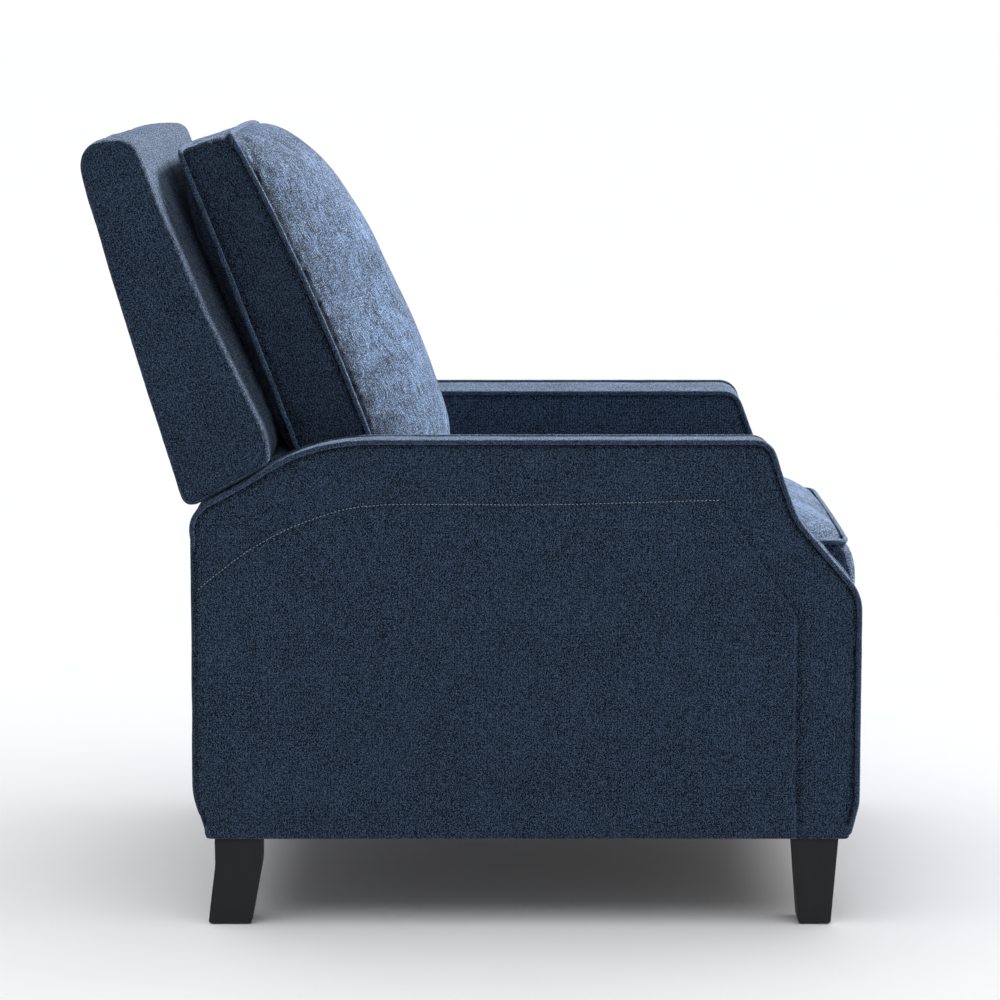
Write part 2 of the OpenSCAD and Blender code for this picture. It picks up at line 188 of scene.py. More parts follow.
def loft(name, rings):
    """A closed mesh through rings of equal point count, with both ends filled."""
    n = len(rings[0])
    faces = []
    for k in range(len(rings) - 1):
        for i in range(n):
            j = (i + 1) % n
            faces.append((k * n + i, k * n + j, (k + 1) * n + j, (k + 1) * n + i))
    faces.append(tuple(range(n - 1, -1, -1)))
    faces.append(tuple((len(rings) - 1) * n + i for i in range(n)))
    return new_object(name, np.vstack(rings), faces)


def soft_prism(name, loop, y0, y1, radius):
    """An X-Z loop between two Y planes. radius(loop) rounds its side edges."""
    out = outward(loop)
    r = radius(loop) if callable(radius) else np.full(len(loop), radius)
    rings = []
    for end, sign in ((y0, -1), (y1, 1)):
        angles = np.linspace(0, math.pi / 2, 6)
        for angle in (angles[::-1] if sign < 0 else angles):
            xz = loop - out * (r * (1 - math.cos(angle)))[:, None]
            y = end - sign * r * (1 - math.sin(angle))
            rings.append(np.stack([xz[:, 0], y, xz[:, 1]], 1))
    return loft(name, rings)


def points(obj):
    co = np.empty(len(obj.data.vertices) * 3)
    obj.data.vertices.foreach_get("co", co)
    return co.reshape(-1, 3)


def normals(obj):
    out = np.empty(len(obj.data.vertices) * 3)
    obj.data.vertices.foreach_get("normal", out)
    return out.reshape(-1, 3)


def place(obj, co):
    obj.data.vertices.foreach_set("co", np.ascontiguousarray(co).ravel())
    obj.data.update()


def bake(obj):
    """Applies the modifiers."""
    bpy.context.view_layer.update()
    shown = obj.evaluated_get(bpy.context.evaluated_depsgraph_get())
    mesh = bpy.data.meshes.new_from_object(shown)
    obj.modifiers.clear()
    obj.data = mesh
    return obj


def modify(obj, kind, **settings):
    """Adds one modifier and applies it."""
    modifier = obj.modifiers.new(kind.title(), kind)
    for key, value in settings.items():
        setattr(modifier, key, value)
    return bake(obj)


def remesh(obj, voxel):
    return modify(obj, "REMESH", mode="VOXEL", voxel_size=voxel)


def smooth(obj, times):
    return modify(obj, "SMOOTH", factor=0.5, iterations=times)


def shade(obj):
    for polygon in obj.data.polygons:
        polygon.use_smooth = True
    return obj


def shade_and_highlight(obj, amount):
    """Stores painted shading for the material: painted shade up to 1, in tucks, grooves and gaps,
    and painted highlight down to -1, on ridges.
    """
    mark = obj.data.attributes.new("shade_and_highlight", "FLOAT", "POINT")
    mark.data.foreach_set("value", np.clip(amount, -1, 1).astype(np.float32))


def waves(co, size, seed):
    """Smooth seeded noise at each point, from -1 to 1."""
    shift = Vector((seed * 7.3, seed * 3.1, seed * 5.7))
    return np.array([noise.noise(Vector(p) / size + shift) for p in co])


def off_sides(nor):
    """1 where a surface faces forward, back, up or down, and 0 where it faces sideways."""
    return 1 - ease(np.abs(nor[:, 1]), 0.2, 0.6)


def ease(x, low, high):
    """A smooth rise from 0 at low to 1 at high."""
    t = np.clip((x - low) / (high - low), 0, 1)
    return t * t * (3 - 2 * t)


def bell(x, width, middle=0.0):
    """1 at the middle, falling off on both sides."""
    return np.exp(-((x - middle) / width) ** 2)


def swell(obj, held, pressure=4.0, cap=25 * MM, slack=0.015, frames=20):
    """Inflates a cushion by cloth simulation. held marks the points that stay, as on a seam."""
    before = points(obj)
    group = obj.vertex_groups.new(name="held")
    for i in np.flatnonzero(held > 0.01):
        group.add([int(i)], float(held[i]), "REPLACE")
    cloth = obj.modifiers.new("Cloth", "CLOTH")
    settings = cloth.settings
    settings.quality = 4
    settings.mass = 0.3
    settings.use_pressure = True
    settings.uniform_pressure_force = pressure
    settings.tension_stiffness = 12
    settings.compression_stiffness = 12
    settings.bending_stiffness = 0.6
    settings.shrink_min = -slack
    settings.vertex_group_mass = "held"
    settings.effector_weights.gravity = 0
    cloth.point_cache.frame_start = 1
    cloth.point_cache.frame_end = frames
    for number in range(1, frames + 1):
        bpy.context.scene.frame_set(number)
    bake(obj)
    bpy.context.scene.frame_set(1)
    after = points(obj)
    move = after - before
    length = np.linalg.norm(move, axis=1)
    move *= np.minimum(1, cap / np.maximum(length, 1e-9))[:, None]
    place(obj, before + move)


def to_seams(co, seams):
    """Distance of each point to the nearest of some closed seams."""
    best = np.full(len(co), FAR)
    for seam in seams:
        for p in resample(np.vstack([seam, seam[:1]]), PATH_STEP):
            best = np.minimum(best, np.linalg.norm(co - p, axis=1))
    return best


def held_at(co, seams):
    """1 on the seams, falling to 0 at their reach."""
    return 1 - ease(to_seams(co, seams), 0.4 * SEAM_REACH, SEAM_REACH)


def tube(name, path, radius, closed=False, sides=10):
    """A round tube along a path, with a slightly uneven skin."""
    path = resample(path, 3.5 * MM, closed)
    n = len(path)
    ahead = np.roll(path, -1, 0) - np.roll(path, 1, 0)
    if not closed:
        ahead[0], ahead[-1] = path[1] - path[0], path[-1] - path[-2]
    ahead /= np.linalg.norm(ahead, axis=1)[:, None]
    side = unit(np.cross(ahead[0], (0.3, 0.5, 0.81)))
    rings = []
    for i in range(n):
        side = unit(side - ahead[i] * (side @ ahead[i]))
        up = np.cross(ahead[i], side)
        swell_here = 1 + 0.05 * noise.noise(Vector(path[i]) * 60)
        if not closed and i in (0, n - 1):
            swell_here = 0.4
        turn = np.linspace(0, 2 * math.pi, sides, endpoint=False)
        ring = path[i] + radius * swell_here * (
            np.cos(turn)[:, None] * side + np.sin(turn)[:, None] * up)
        rings.append(ring)
    if not closed:
        return shade(loft(name, rings))
    # the last ring may have turned on the way round, so it joins the first at its best fit
    turned = min(range(sides), key=lambda k: np.linalg.norm(np.roll(rings[-1], k, 0) - rings[0]))
    faces = []
    for k in range(n):
        following = (k + 1) % n
        shift = turned if following == 0 else 0
        for i in range(sides):
            j = (i + 1) % sides
            faces.append((k * sides + i, k * sides + j, following * sides + (j + shift) % sides,
                          following * sides + (i + shift) % sides))
    return shade(new_object(name, np.vstack(rings), faces))


def lay_on(path, obj, lift):
    """Moves a path onto a piece's surface, standing proud by lift."""
    tree = BVHTree.FromObject(obj, bpy.context.evaluated_depsgraph_get())
    out = []
    for p in path:
        spot, normal, _, _ = tree.find_nearest(Vector(p))
        out.append(np.array(spot + normal * lift))
    return np.array(out)


def stitches(name, path, across, pitch=5.0 * MM, length=3.0 * MM, thick=0.42 * MM):
    """A row of short raised thread stitches along a path."""
    sides = 6
    profile = ((-1, 0.25), (-0.6, 0.9), (0, 1.0), (0.6, 0.9), (1, 0.25))
    path = resample(path, pitch)
    verts, faces = [], []
    for a, b in zip(path[:-1], path[1:]):
        ahead = unit(b - a)
        side = unit(np.cross(ahead, across))
        middle = (a + b) / 2
        first = len(verts)
        for t, w in profile:
            for turn in np.linspace(0, 2 * math.pi, sides, endpoint=False):
                off = math.cos(turn) * side + math.sin(turn) * np.array(across)
                verts.append(middle + ahead * t * length / 2 + off * thick * w)
        last = len(verts) - sides
        for k in range(first, last, sides):
            for i in range(sides):
                j = (i + 1) % sides
                faces.append((k + i, k + j, k + sides + j, k + sides + i))
        faces.append(tuple(first + i for i in range(sides - 1, -1, -1)))
        faces.append(tuple(last + i for i in range(sides)))
    return shade(new_object(name, verts, faces))


# ---- materials ----

class Nodes:
    """A short way to write a node tree."""

    def __init__(self, name):
        self.material = bpy.data.materials.new(name)
        self.material.use_nodes = True
        self.tree = self.material.node_tree
        self.shader = self.tree.nodes["Principled BSDF"]

    def add(self, kind, inputs=(), **settings):
        node = self.tree.nodes.new("ShaderNode" + kind)
        for key, value in settings.items():
            setattr(node, key, value)
        for key, value in dict(inputs).items():
            self.put(node.inputs[key], value)
        return node

    def put(self, socket, value):
        if isinstance(value, bpy.types.NodeSocket):
            self.tree.links.new(value, socket)
        else:
            socket.default_value = value

    def math(self, operation, a, b=0.0, clamp=False):
        return self.add("Math", {0: a, 1: b}, operation=operation, use_clamp=clamp).outputs[0]

    def mix(self, share, a, b):
        node = self.add("Mix", data_type="RGBA")
        self.put(node.inputs[0], share)
        self.put(node.inputs[6], a)
        self.put(node.inputs[7], b)
        return node.outputs[2]

    def noise(self, vector, scale, detail=2.0, rough=0.5):
        return self.add("TexNoise", {"Vector": vector, "Scale": scale, "Detail": detail,
                                     "Roughness": rough}).outputs["Fac"]

    def turn(self, vector, lean):
        return self.add("Mapping", {"Vector": vector, "Rotation": (0, lean, 0)}).outputs[0]

    def stretch(self, vector, scale, lean=0.0):
        """Scales along the leaning axes, with the noise's own grid turned away from flat faces."""
        return self.add("Mapping", {"Vector": self.turn(vector, lean), "Scale": scale,
                                    "Rotation": (0.5, 0.6, 0.7)}).outputs[0]

    def range(self, value, low, high, to_low=0.0, to_high=1.0):
        node = self.add("MapRange", {"Value": value, "From Min": low, "From Max": high,
                                     "To Min": to_low, "To Max": to_high})
        return node.outputs[0]

    def bump(self, height, strength, distance):
        node = self.add("Bump", {"Height": height, "Strength": strength, "Distance": distance})
        self.put(self.shader.inputs["Normal"], node.outputs[0])

    def set(self, **values):
        for key, value in values.items():
            self.put(self.shader.inputs[key.replace("_", " ")], value)


def chenille(name, lean=0.0, patches=0.16, gain=0.79, sheen=0.62, dashes=0.4, beside=1.0):
    """Navy chenille: fine upright ribs flecked with pale slubs, brushed patches and dark dashes
    where the pile lies over, and a pale sheen. The sides are plainer than the other faces, and
    their colour and sheen are multiplied by beside, a painted shade on faces that look sideways."""
    n = Nodes(name)
    where = n.add("TexCoord")
    spot, facing = where.outputs["Object"], where.outputs["Normal"]
    axis = n.add("SeparateXYZ", {0: facing})
    sideways = n.range(n.math("ABSOLUTE", axis.outputs[1]), 0.5, 0.85)
    upward = n.range(n.math("ABSOLUTE", axis.outputs[2]), 0.6, 0.9)

    def by_face(elsewhere, sides):
        return n.range(sideways, 0.0, 1.0, elsewhere, sides)

    def uneven(vector, scale, rough):
        return n.range(n.noise(vector, scale, 4.0, rough), 0.35, 0.65, -0.5, 0.5)

    # short threads that lie along the pile
    upright = n.noise(n.stretch(spot, (1.0, 1.0, 0.7), lean), SLUB_SCALE, 1.0, 0.5)
    lying = n.noise(n.stretch(spot, (0.7, 1.0, 1.0)), SLUB_SCALE, 1.0, 0.5)
    slub = n.add("Mix", {0: upward, 2: upright, 3: lying}).outputs[0]
    # fine ribs crossed by the weave, across X on the sides and across Y elsewhere
    xyz = n.add("SeparateXYZ", {0: n.turn(spot, lean)})
    place_across = n.add("Mix", {0: sideways, 2: xyz.outputs[1], 3: xyz.outputs[0]}).outputs[0]
    sway = n.math("MULTIPLY", n.noise(spot, 130.0), 5.0)
    turn = 2 * math.pi / RIB_PITCH
    rib = n.math("SINE", n.math("ADD", n.math("MULTIPLY", place_across, turn), sway))
    weft = n.math("SINE", n.math("ADD", n.math("MULTIPLY", xyz.outputs[2], turn), sway))
    rib = n.math("ADD", rib, n.math("MULTIPLY", weft, 0.7))
    # brushed patches: broad ones, and mottles down the pile
    broad = uneven(spot, 13.0, 0.6)
    mottles = uneven(n.stretch(spot, (1.0, 1.0, 0.6), lean), 34.0, 0.65)
    brushed = uneven(n.stretch(spot, (1.0, 1.0, 0.28), lean), 150.0, 0.7)
    combed = n.noise(n.stretch(spot, (1.0, 1.0, 0.13), lean), 400.0, 2.0, 0.6)
    patchy = n.math("ADD", n.math("ADD", broad, mottles), n.math("MULTIPLY", brushed, 0.8))
    flecks = n.math("POWER", n.range(slub, 0.40, 0.64), 2.6)
    tone = n.math("ADD", n.math("MULTIPLY", flecks, 1.45), n.math("MULTIPLY", rib, 0.06))
    tone = n.math("ADD", tone, n.math("MULTIPLY", patchy, by_face(patches, 0.3 * patches)))
    lain_over = n.math("MULTIPLY", n.range(combed, 0.50, 0.64), by_face(dashes, 0.0))
    tone = n.math("SUBTRACT", tone, lain_over)
    # painted shade where the mesh marks a tuck, groove or gap beside a seam, and a painted highlight
    # where it marks a ridge
    shade_and_highlight = n.add("Attribute", attribute_name="shade_and_highlight").outputs["Fac"]
    tone = n.math("ADD", n.math("SUBTRACT", tone, n.math("MULTIPLY", shade_and_highlight, 0.5)), 0.02, True)
    dark = tuple(gain * c for c in NAVY_DARK) + (1,)
    pale = tuple(gain * c for c in NAVY_PALE) + (1,)
    colour = n.mix(tone, dark, pale)
    # painted shade: faces that look sideways take a copy of the colour darkened by beside
    shaded = n.mix(tone, [beside * c for c in dark], [beside * c for c in pale])
    colour = n.mix(sideways, colour, shaded)
    # edges that are rubbed show a little paler
    edge = n.range(n.add("NewGeometry").outputs["Pointiness"], 0.52, 0.62, 0.0, 0.3)
    colour = n.mix(edge, colour, NAVY_RUBBED)
    n.set(Base_Color=colour, Roughness=n.range(tone, 0.0, 1.0, 0.95, 0.75))
    # the painted shade on sideways faces lowers their sheen too
    bright = n.math("MULTIPLY", tone, by_face(1.0, beside))
    n.set(Sheen_Weight=n.range(bright, 0.05, 0.75, 0.08 * sheen, sheen))
    n.set(Specular_IOR_Level=0.08, Sheen_Roughness=0.30, Sheen_Tint=NAVY_SHEEN)
    height = n.math("ADD", slub, n.math("MULTIPLY", rib, 0.16))
    height = n.math("ADD", height, n.math("MULTIPLY", brushed, 0.3))
    height = n.math("SUBTRACT", height, n.math("MULTIPLY", lain_over, 0.5))
    n.bump(height, 0.8, 0.0013)
    return n.material


def grained_wood(name, dark, pale, rough, stretch, gloss=0.4, coat=0.0):
    """Wood with long grain; stretch is the grain's scale along X, Y and Z."""
    n = Nodes(name)
    spot = n.add("TexCoord").outputs["Object"]
    grain = n.noise(n.stretch(spot, stretch), 40.0, 6.0, 0.6)
    pores = n.noise(n.stretch(spot, tuple(4 * s for s in stretch)), 120.0, 3.0, 0.7)
    tone = n.math("ADD", n.range(grain, 0.3, 0.7), n.math("MULTIPLY", pores, 0.3), True)
    edge = n.range(n.add("NewGeometry").outputs["Pointiness"], 0.52, 0.6, 0.0, 0.5)
    worn = tuple(min(1.0, 2.2 * c) for c in pale[:3]) + (1,)
    n.set(Base_Color=n.mix(edge, n.mix(tone, dark, pale), worn),
          Roughness=n.range(pores, 0.3, 0.7, rough - 0.08, rough + 0.1))
    n.set(Specular_IOR_Level=gloss, Coat_Weight=coat, Coat_Roughness=0.3)
    n.bump(n.math("ADD", grain, pores), 0.25, 0.0004)
    return n.material


def metal(name, colour, metallic, rough):
    """Painted or plated steel with faint rolling marks and dust."""
    n = Nodes(name)
    spot = n.add("TexCoord").outputs["Object"]
    marks = n.noise(n.stretch(spot, (0.15, 1.0, 1.0)), 600.0, 3.0, 0.6)
    dust = n.noise(spot, 25.0, 4.0, 0.6)
    paler = tuple(min(1.0, 1.5 * c + 0.02) for c in colour[:3]) + (1,)
    n.set(Base_Color=n.mix(n.range(dust, 0.4, 0.7), colour, paler),
          Roughness=n.range(marks, 0.3, 0.7, rough - 0.08, rough + 0.12))
    n.set(Metallic=metallic)
    n.bump(marks, 0.12, 0.0002)
    return n.material


def plain_weave(name, dark, pale, pitch):
    """A flat woven strap or cloth: two crossing sets of threads."""
    n = Nodes(name)
    spot = n.add("TexCoord").outputs["Object"]
    xyz = n.add("SeparateXYZ", {0: spot})
    turn = 2 * math.pi / pitch
    warp = n.math("SINE", n.math("MULTIPLY", xyz.outputs[0], turn))
    weft = n.math("SINE", n.math("MULTIPLY", xyz.outputs[1], turn))
    weave = n.range(n.math("MULTIPLY", warp, weft), -1.0, 1.0)
    fuzz = n.noise(spot, 900.0, 2.0, 0.6)
    tone = n.math("ADD", n.math("MULTIPLY", weave, 0.6), n.math("MULTIPLY", fuzz, 0.4), True)
    n.set(Base_Color=n.mix(tone, dark, pale), Roughness=n.range(fuzz, 0.3, 0.7, 0.75, 0.95))
    n.set(Sheen_Weight=0.2, Sheen_Roughness=0.5)
    n.bump(weave, 0.4, 0.0004)
    return n.material


def thread_material(name):
    """Pale twisted thread."""
    n = Nodes(name)
    spot = n.add("TexCoord").outputs["Object"]
    twist = n.noise(spot, 2500.0, 2.0, 0.6)
    n.set(Base_Color=n.mix(twist, (0.09, 0.12, 0.17, 1), (0.32, 0.38, 0.46, 1)),
          Roughness=n.range(twist, 0.3, 0.7, 0.5, 0.8))
    n.set(Sheen_Weight=0.3)
    n.bump(twist, 0.3, 0.0002)
    return n.material


def moulded(name):
    n = Nodes(name)
    spot = n.add("TexCoord").outputs["Object"]
    grit = n.noise(spot, 900.0, 3.0, 0.6)
    n.set(Base_Color=n.mix(grit, (0.012, 0.012, 0.013, 1), (0.035, 0.035, 0.037, 1)),
          Roughness=n.range(grit, 0.3, 0.7, 0.5, 0.7))
    n.bump(grit, 0.2, 0.0002)
    return n.material


# gain sets how pale each copy of the one fabric is. The cushion face and the seat take a much paler
# copy, a painted light where the lamp falls; the piping a paler one, a painted highlight on the
# cords; the outer back a little darker one, a painted shade.
FABRIC = chenille("chenille_upright")
FABRIC_BACK = chenille("chenille_leaning", LEAN, gain=0.75)
FABRIC_FACE = chenille("chenille_brushed_and_lit", LEAN, patches=0.26, gain=1.55, sheen=0.9, dashes=0.9,
                       beside=0.4)
FABRIC_SEAT = chenille("chenille_seat", 0.0, patches=0.24, gain=1.6, sheen=0.9, beside=0.5)
PIPED = chenille("chenille_piping", 0.0, patches=0.10, gain=1.0, sheen=0.8)
THREAD = thread_material("topstitch_thread")
LEG_WOOD = grained_wood("black_stained_wood", (0.0028, 0.0029, 0.0032, 1),
                        (0.0070, 0.0073, 0.0080, 1), 0.5, (1.0, 1.0, 0.08), 0.16)
TIMBER = grained_wood("birch_plywood", (0.12, 0.074, 0.036, 1), (0.24, 0.160, 0.086, 1),
                      0.62, (0.08, 1.0, 1.0))
STEEL = metal("grey_painted_steel", (0.035, 0.036, 0.04, 1), 0.3, 0.42)
ZINC = metal("zinc_plate", (0.52, 0.53, 0.54, 1), 1.0, 0.32)
CLOTH = plain_weave("black_dust_cloth", (0.006, 0.006, 0.007, 1), (0.03, 0.03, 0.032, 1), 0.0016)
STRAP = plain_weave("woven_strap", (0.05, 0.04, 0.03, 1), (0.20, 0.16, 0.12, 1), 0.003)
PLASTIC = moulded("black_plastic")


def finish_piece(obj, body, material, slot, *nodes, fill=None):
    obj.data.materials.clear()
    obj.data.materials.append(material)
    shade(obj)
    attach(obj, body)
    if nodes:
        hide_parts(*nodes)


# ---- arms ----

def arm_outline():
    """Corners, anticlockwise from the rear end of the hem."""
    x0, x1, z0, z1 = ARM_LOW.x, ARM_HIGH.x, ARM_LOW.z, ARM_HIGH.z
    return [
        (x0 + 0.018, z0 - 0.001, 0.008), (x1 - 0.012, z0 - 0.001, 0.004), (x1, z0 + 0.047, 0.060),
        (x1, z1 - 0.1935, 0.060), (x1 - 0.083, z1 - 0.097, 0.090), (x1 - 0.119, z1, 0.028),
        (x0 + 0.162, z1, 0.300), (x0 + 0.001, z1 - 0.088, 0.045), (x0, z0 + 0.052, 0.100)]


def arm_welt_path(inset):
    """Over the top and down the front to the hem, and how far its rear end is sunk in the cover."""
    corners = arm_outline()
    (hem_x, hem_z, _), (rear_x, rear_z, _) = corners[1], corners[7]
    whole = rounded(corners, 3 * MM)
    sink = ease(rear_z - whole[:, 1], 0.0, 0.06) * (whole[:, 0] < rear_x + 0.05)
    whole = whole - outward(whole) * (inset + 4 * MM * sink)[:, None]

    def nearest(x, z):
        return np.argmin(np.hypot(whole[:, 0] - x, whole[:, 1] - z))

    start, end = nearest(rear_x, rear_z - 0.065), nearest(hem_x, hem_z + 0.006)
    return whole[end:start + 1][::-1], sink[end:start + 1][::-1]


def arm_tilt(height, across):
    """How far a place is raised, because the arm's top falls a little towards the seat. across
    runs from 0 inside to 1 outside."""
    return 5.5 * MM * across * ease(height, ARM_HIGH.z - 0.055, ARM_HIGH.z - 0.012)


def arm_stitch_path():
    """The topstitch across the side, a hand's width under the top edge."""
    x0, z1 = ARM_LOW.x, ARM_HIGH.z
    return curve(
        (x0 + 0.010, z1 - 0.189), (x0 + 0.086, z1 - 0.132), (x0 + 0.170, z1 - 0.093),
        (x0 + 0.254, z1 - 0.078), (x0 + 0.450, z1 - 0.078), ARM_KNEE)


def arm_crease_path():
    """The soft crease of the board's edge, from the stitch down to the hem."""
    x1, z0, z1 = ARM_HIGH.x, ARM_LOW.z, ARM_HIGH.z
    return rounded([ARM_KNEE + (0,), (x1 - 0.084, z1 - 0.221, 0.03), (x1 - 0.082, z0, 0)],
                   5 * MM, closed=False)


def arm_radius(loop):
    """Tight where the piping runs and at the hem, soft down the back."""
    behind = ease(-loop[:, 0], -ARM_LOW.x - 0.03, -ARM_LOW.x - 0.004)
    low = 1 - ease(loop[:, 1], ARM_HIGH.z - 0.22, ARM_HIGH.z - 0.16)
    hem = 1 - ease(loop[:, 1], ARM_LOW.z, ARM_LOW.z + 0.008)
    return (1.5 + (2.5 + behind * low * 12) * (1 - hem)) * MM


def arm_side_relief(xz, edge, broad):
    """The outer side's relief in millimetres, and its painted shading: painted shade along the
    stitch row and crease, and painted highlight on the crease's ridge.
    """
    stitch, _ = to_path(xz, arm_stitch_path())
    crease, place_along = to_path(xz, arm_crease_path())
    full = 1 - bell(edge, FULL_WITHIN)
    puff = 3.4 * full + broad * full - 2.4 * bell(edge, 0.0028, 0.0055)
    puff -= 1.5 * bell(stitch, 0.005) + 0.5 * bell(stitch, 0.02)
    # the board stands a little proud behind the crease
    path = resample(arm_crease_path(), PATH_STEP)
    ahead = xz[:, 0] > np.interp(xz[:, 1], path[::-1, 1], path[::-1, 0])
    strength = (0.45 + 0.55 * ease(place_along, 0.2, 0.5)) * ease(place_along, 0.0, 0.05)
    behind = 1.3 * bell(crease, 0.012)
    before = -1.7 * bell(crease, 0.007, 0.004) - 0.9 * bell(crease, 0.035)
    puff += np.where(ahead, before, behind) * strength
    # painted shade just in front of the crease, and a painted highlight on the ridge behind it
    line = np.where(ahead, bell(crease, 0.004, 0.003), -0.9 * bell(crease, 0.0032))
    return puff, 0.35 * bell(stitch, 0.003) + 0.55 * line * strength


def make_arm(side):
    """The arm's cover. It is shaped as the left arm, and mirrored for the right one."""
    sign = 1 if side == "left" else -1
    loop = rounded(arm_outline())
    loop = loop - outward(loop) * 2.5 * MM * ease(loop[:, 1], ARM_LOW.z, ARM_LOW.z + 0.01)[:, None]
    obj = soft_prism("arm_" + side + "_cover", loop, ARM_IN, ARM_OUT, arm_radius)
    remesh(obj, ARM_VOXEL)
    smooth(obj, 2)
    co, nor = points(obj), normals(obj)
    xz = co[:, [0, 2]]
    edge, _ = to_path(xz, np.vstack([loop, loop[:1]]))
    # the hem has no piping, so no groove runs along it
    edge = np.where(xz[:, 1] > ARM_LOW.z + 0.02, edge, NO_GROOVE)
    outer = ease(nor[:, 1], 0.5, 0.9)
    inner = ease(-nor[:, 1], 0.5, 0.9)
    broad = waves(co, 0.16, 1 + sign) * 1.2 + waves(co, 0.06, 4 + sign) * 0.45
    full = 1 - bell(edge, FULL_WITHIN)
    puff, dark = arm_side_relief(xz, edge, broad)
    co[:, 1] += outer * puff * MM
    co[:, 1] -= inner * np.minimum(2.2 * full + 0.5 * broad * full, 3.2) * MM * 0.8
    # the band between the pipings is gently crowned
    across = (co[:, 1] - ARM_IN) / (ARM_OUT - ARM_IN)
    crown = np.clip(4 * across * (1 - across), 0, 1) ** 0.6
    band = 1 - ease(np.abs(nor[:, 1]), 0.3, 0.7)
    beside = np.minimum(co[:, 1] - ARM_IN, ARM_OUT - co[:, 1])
    groove = 1.8 * bell(beside, 0.003, 0.006)
    lift = (3.0 * crown - 0.8 - groove + 0.7 * waves(co, 0.05, 9)) * band * MM
    # painted shade in the grooves beside the piping, on the sides and on the band
    dark = dark * outer + bell(edge, 0.0026, 0.0058) * np.maximum(outer, inner)
    dark += bell(beside, 0.0026, 0.006) * band
    up = nor.copy()
    up[:, 1] = 0
    up[co[:, 2] < ARM_LOW.z + 0.03] = 0
    co += up * lift[:, None]
    co[:, 2] += arm_tilt(xz[:, 1], across)
    co[:, 1] = co[:, 1] * sign
    place(obj, co)
    if sign < 0:
        obj.data.flip_normals()
    shade_and_highlight(obj, dark)
    finish_piece(obj, "base", FABRIC, "upholstery", "arm_" + side, fill=0.9)
    trim_arm(side, sign, obj)


def trim_arm(side, sign, cover):
    """Piping along both edges of the band, and the topstitch on the outer side."""
    path, sink = arm_welt_path(3.2 * MM)
    for which, y, away in (("outer", ARM_OUT, 1), ("inner", ARM_IN, -1)):
        rise = arm_tilt(path[:, 1], which == "outer")
        y = sign * (y + away * (0.2 - 6 * sink) * MM)
        line = np.stack([path[:, 0], y, path[:, 1] + rise], 1)
        piping = tube("arm_" + side + "_piping_" + which, line, WELT)
        finish_piece(piping, "base", PIPED, "upholstery")
    row = arm_stitch_path()
    line = np.stack([row[:, 0], np.full(len(row), sign * ARM_OUT), row[:, 1]], 1)
    seam = stitches("arm_" + side + "_topstitch", lay_on(line, cover, 0.3 * MM), (0, sign, 0))
    finish_piece(seam, "base", THREAD, "upholstery")


# ---- cushions ----

def cushion_rings(half, face, back, corner, crown, fullness, lift, bulge):
    """Rings of a box cushion. face(b) and back(b) give the X-Z seams of its two panels for b
    from 0 to 1, and crown(b) the middle line of the front panel. fullness is the rear panel's,
    lift raises the middle of the b = 1 end, bulge is the boxing's at sides and ends. Gives the
    rings, and the two that are the panels' seams."""
    ends = np.linalg.norm(face(np.array([1.0])) - face(np.array([0.0])))
    rect = rounded([(-half, -ends / 2, corner), (half, -ends / 2, corner),
                    (half, ends / 2, corner), (-half, ends / 2, corner)], 7 * MM)

    def ring(scale, depth, swollen=0.0):
        a = rect[:, 0] * scale + swollen * bulge[0] * rect[:, 0] / half
        b = rect[:, 1] * (scale + swollen * bulge[1] / (ends / 2)) / ends + 0.5
        f, r = face(b), back(b)
        through = f - r
        through /= np.linalg.norm(through, axis=1)[:, None]
        u = np.minimum(np.abs(a / half), 1)
        across = ((1 - u ** 2) ** 0.75)[:, None]
        xz = r + (f - r) * depth
        if depth == 1:
            xz = xz + (crown(np.clip(b, 0, 1)) - f) * across
        elif depth == 0:
            v = np.abs(2 * np.clip(b, 0, 1) - 1)
            xz = xz - through * fullness * across * ((1 - v ** 2) ** 0.65)[:, None]
        top = lift * (1 - u ** 2) * np.clip(b, 0, 1) ** 6
        return np.stack([xz[:, 0], a, xz[:, 1] + top], 1)

    scales = np.sin(np.linspace(0.02, math.pi / 2, 16))
    front = [ring(s, 1) for s in scales]
    boxing = [ring(1, d, math.sin(math.pi * d) ** 0.8) for d in np.linspace(1, 0, 9)[1:-1]]
    rear = [ring(s, 0) for s in scales[::-1]]
    return front + boxing + rear, front[-1], rear[0]


def along(path):
    """A function that gives points of a path for places from 0 to 1."""
    path = resample(path, 2 * MM)
    places = np.linspace(0, 1, len(path))
    return lambda t: np.stack([np.interp(t, places, path[:, k]) for k in (0, 1)], 1)


def on_seam(seam, obj):
    """A closed seam laid on its cushion, proud enough for the piping to show."""
    path = lay_on(resample(seam, PATH_STEP, closed=True), obj, 0.75 * WELT)
    for _ in range(3):
        path = (np.roll(path, 1, 0) + 2 * path + np.roll(path, -1, 0)) / 4
    return path


def gather(obj, seams, height, seed, slope_shade):
    """Small puckers beside the seams, and the dip where the cover is sewn down. A painted shade
    darkens the dip, and by the given share the slope that leads to it."""
    co, nor = points(obj), normals(obj)
    near = to_seams(co, seams)
    dip = -2.6 * bell(near, 4 * MM, 5.5 * MM)
    pucker = height * bell(near, 12 * MM, 16 * MM) * waves(co, 0.014, seed)
    soft = waves(co, 0.07, seed + 1) * ease(near, 0.02, 0.06)
    place(obj, co + nor * ((dip + pucker + soft) * MM)[:, None])
    # painted shade in the dip along the seam and on the slope that leads to it
    seam = 0.9 * bell(near, 3 * MM, 5.5 * MM)
    slope = (1 - ease(near, 0.0, 0.13)) * (1 - ease(np.abs(nor[:, 1]), 0.7, 0.95))
    shade_and_highlight(obj, np.maximum(seam, slope_shade * slope))


